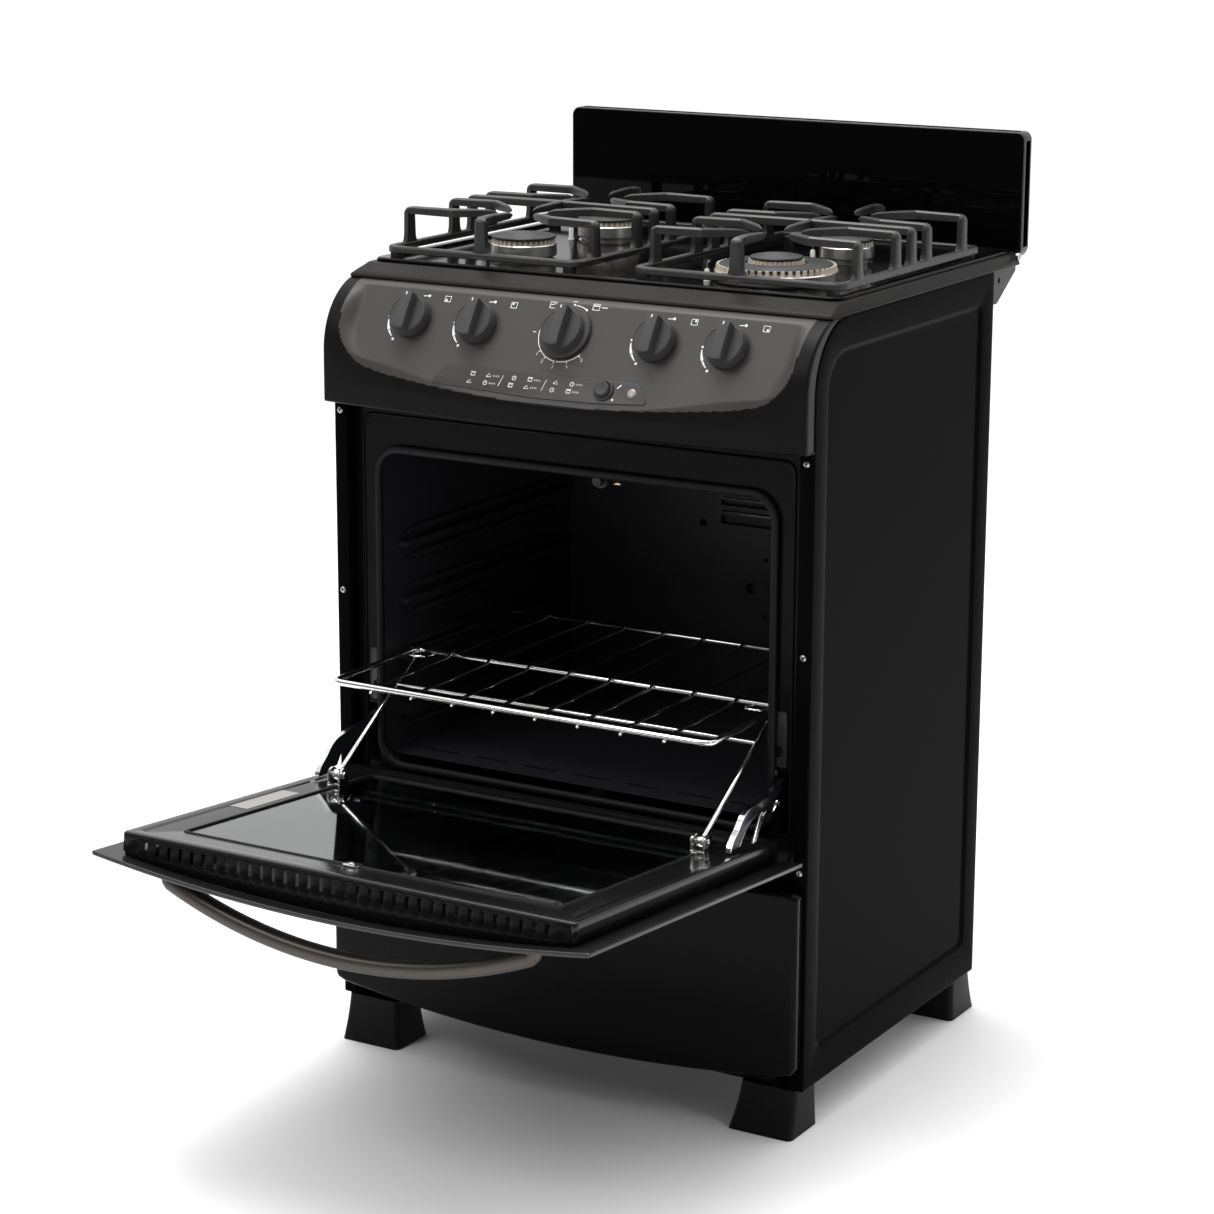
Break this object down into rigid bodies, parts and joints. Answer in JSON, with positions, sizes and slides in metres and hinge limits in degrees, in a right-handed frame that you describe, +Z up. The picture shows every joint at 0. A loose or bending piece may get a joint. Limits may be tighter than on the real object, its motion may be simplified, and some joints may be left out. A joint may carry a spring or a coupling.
{
  "type": "freestanding gas range",
  "caption": "Freestanding gas range with sealed burners, cast grates, an oven with drop-down door and linked rack, and a storage drawer.",
  "frame": {"origin": "on the floor, centred under the side panels", "axes": "+Z up, front towards -Y, +X to the right seen from the front"},
  "size_m": [0.6, 0.981, 1.037],
  "materials": {
    "gloss_black": "gloss black enamel",
    "satin_charcoal": "satin charcoal paint",
    "oven_enamel": "speckled dark blue-black enamel",
    "frame_black": "semi-gloss black enamel",
    "galvanised": "galvanised sheet",
    "chrome_wire": "bright chrome",
    "black_glass": "black back-painted glass",
    "clear_glass": "tinted clear glass",
    "titanium": "satin titanium brown",
    "cast_iron": "matt black enamelled cast iron",
    "cap_enamel": "satin black enamel",
    "aluminium": "die-cast aluminium",
    "brass": "brass",
    "black_plastic": "moulded black plastic",
    "knob_plastic": "satin black plastic",
    "seal": "dark woven seal",
    "wool": "mineral wool",
    "lens": "smoked lens",
    "ceramic": "white ceramic",
    "label": "satin dark label",
    "screw": "zinc plated",
    "dark_steel": "blued steel"
  },
  "bodies": {
    "range": {"base_frame": "frame_black", "feet": "black_plastic", "side_panel_left": "gloss_black", "side_panel_right": "gloss_black", "back_panel": "galvanised", "front_frame": "frame_black", "oven_liner": "oven_enamel", "oven_gasket": "seal", "oven_floor": "oven_enamel", "oven_burner": "galvanised", "broiler_burner": "galvanised", "insulation": "wool", "hinge_receivers": "galvanised", "control_panel": "satin_charcoal", "label_plate": "label", "button_ring": "knob_plastic", "indicator_lens": "lens", "valve_bodies": "brass", "gas_manifold": "galvanised", "feed_tubes": "aluminium", "cooktop_trim": "satin_charcoal", "cooktop_plate": "gloss_black", "burner_crowns": "aluminium", "electrodes": "ceramic", "backguard_glass": "black_glass", "backguard_shell": "satin_charcoal", "rear_gussets": "frame_black", "panel_screws": "screw", "drawer_runners": "galvanised"},
    "oven_door": {"door_skin": "black_glass", "door_pan": "frame_black", "door_inner_glass": "clear_glass", "door_handle": "titanium", "hinge_arms": "dark_steel", "hinge_links": "chrome_wire", "rod_brackets": "chrome_wire"},
    "pull_frame_body": {"pull_frame": "chrome_wire"},
    "rack_body": {"oven_rack": "chrome_wire"},
    "drawer": {"drawer_front": "gloss_black", "drawer_box": "galvanised"},
    "igniter": {"igniter_button": "knob_plastic"},
    "grate_left_body": {"grate_left": "cast_iron"},
    "grate_right_body": {"grate_right": "cast_iron"},
    "cap_body_1": {"cap_1": "cap_enamel"},
    "cap_body_2": {"cap_2": "cap_enamel"},
    "cap_body_3": {"cap_3": "cap_enamel"},
    "cap_body_4": {"cap_4": "cap_enamel"},
    "stem_body_1": {"stem_1": "brass"},
    "knob_body_1": {"knob_1": "knob_plastic"},
    "stem_body_2": {"stem_2": "brass"},
    "knob_body_2": {"knob_2": "knob_plastic"},
    "stem_body_3": {"stem_3": "brass"},
    "knob_body_3": {"knob_3": "knob_plastic"},
    "stem_body_4": {"stem_4": "brass"},
    "knob_body_4": {"knob_4": "knob_plastic"},
    "stem_body_5": {"stem_5": "brass"},
    "knob_body_5": {"knob_5": "knob_plastic"}
  },
  "joints": [
    {"name": "door_hinge", "type": "hinge", "parent": "range", "child": "oven_door", "pos_m": [0, -0.234, 0.318], "axis": [-1, 0, 0], "range_deg": [0, 85.2]},
    {"name": "rack_slide", "type": "slide", "parent": "range", "child": "rack_body", "axis": [0, 1, 0], "range_m": [0, 0.146]},
    {"name": "pull_frame_turn", "type": "hinge", "parent": "oven_door", "child": "pull_frame_body", "pos_m": [0.23, -0.325, 0.355], "axis": [-1, 0, 0], "range_deg": [-61, 0]},
    {"name": "drawer_slide", "type": "slide", "parent": "range", "child": "drawer", "axis": [0, -1, 0], "range_m": [0, 0.3]},
    {"name": "igniter_push", "type": "slide", "parent": "range", "child": "igniter", "axis": [0, 0.8461, -0.533], "range_m": [0, 0.0035], "stiffness_N_per_m": 300, "springref_m": -0.001},
    {"name": "knob_turn_1", "type": "hinge", "parent": "range", "child": "stem_body_1", "pos_m": [-0.196, -0.21616, 0.852], "axis": [0, -0.8461, 0.533], "range_deg": [0, 210]},
    {"name": "knob_push_1", "type": "slide", "parent": "stem_body_1", "child": "knob_body_1", "axis": [0, 0.8461, -0.533], "range_m": [0, 0.003], "stiffness_N_per_m": 600, "springref_m": -0.001},
    {"name": "knob_turn_2", "type": "hinge", "parent": "range", "child": "stem_body_2", "pos_m": [-0.111, -0.21616, 0.852], "axis": [0, -0.8461, 0.533], "range_deg": [0, 210]},
    {"name": "knob_push_2", "type": "slide", "parent": "stem_body_2", "child": "knob_body_2", "axis": [0, 0.8461, -0.533], "range_m": [0, 0.003], "stiffness_N_per_m": 600, "springref_m": -0.001},
    {"name": "knob_turn_3", "type": "hinge", "parent": "range", "child": "stem_body_3", "pos_m": [0, -0.21616, 0.852], "axis": [0, -0.8461, 0.533], "range_deg": [-60, 250]},
    {"name": "knob_push_3", "type": "slide", "parent": "stem_body_3", "child": "knob_body_3", "axis": [0, 0.8461, -0.533], "range_m": [0, 0.003], "stiffness_N_per_m": 600, "springref_m": -0.001},
    {"name": "knob_turn_4", "type": "hinge", "parent": "range", "child": "stem_body_4", "pos_m": [0.111, -0.21616, 0.852], "axis": [0, -0.8461, 0.533], "range_deg": [0, 210]},
    {"name": "knob_push_4", "type": "slide", "parent": "stem_body_4", "child": "knob_body_4", "axis": [0, 0.8461, -0.533], "range_m": [0, 0.003], "stiffness_N_per_m": 600, "springref_m": -0.001},
    {"name": "knob_turn_5", "type": "hinge", "parent": "range", "child": "stem_body_5", "pos_m": [0.196, -0.21616, 0.852], "axis": [0, -0.8461, 0.533], "range_deg": [0, 210]},
    {"name": "knob_push_5", "type": "slide", "parent": "stem_body_5", "child": "knob_body_5", "axis": [0, 0.8461, -0.533], "range_m": [0, 0.003], "stiffness_N_per_m": 600, "springref_m": -0.001},
    {"name": "grate_left_lift", "type": "slide", "parent": "range", "child": "grate_left_body", "axis": [0, 0, 1], "range_m": [0, 0.15]},
    {"name": "grate_right_lift", "type": "slide", "parent": "range", "child": "grate_right_body", "axis": [0, 0, 1], "range_m": [0, 0.15]},
    {"name": "cap_lift_1", "type": "slide", "parent": "range", "child": "cap_body_1", "axis": [0, 0, 1], "range_m": [0, 0.02]},
    {"name": "cap_lift_2", "type": "slide", "parent": "range", "child": "cap_body_2", "axis": [0, 0, 1], "range_m": [0, 0.02]},
    {"name": "cap_lift_3", "type": "slide", "parent": "range", "child": "cap_body_3", "axis": [0, 0, 1], "range_m": [0, 0.02]},
    {"name": "cap_lift_4", "type": "slide", "parent": "range", "child": "cap_body_4", "axis": [0, 0, 1], "range_m": [0, 0.02]}
  ],
  "couplings": [
    {"joint": "rack_slide", "follows": "door_hinge", "m_per_rad": 0.097372},
    {"joint": "pull_frame_turn", "follows": "door_hinge", "ratio": -0.71}
  ]
}
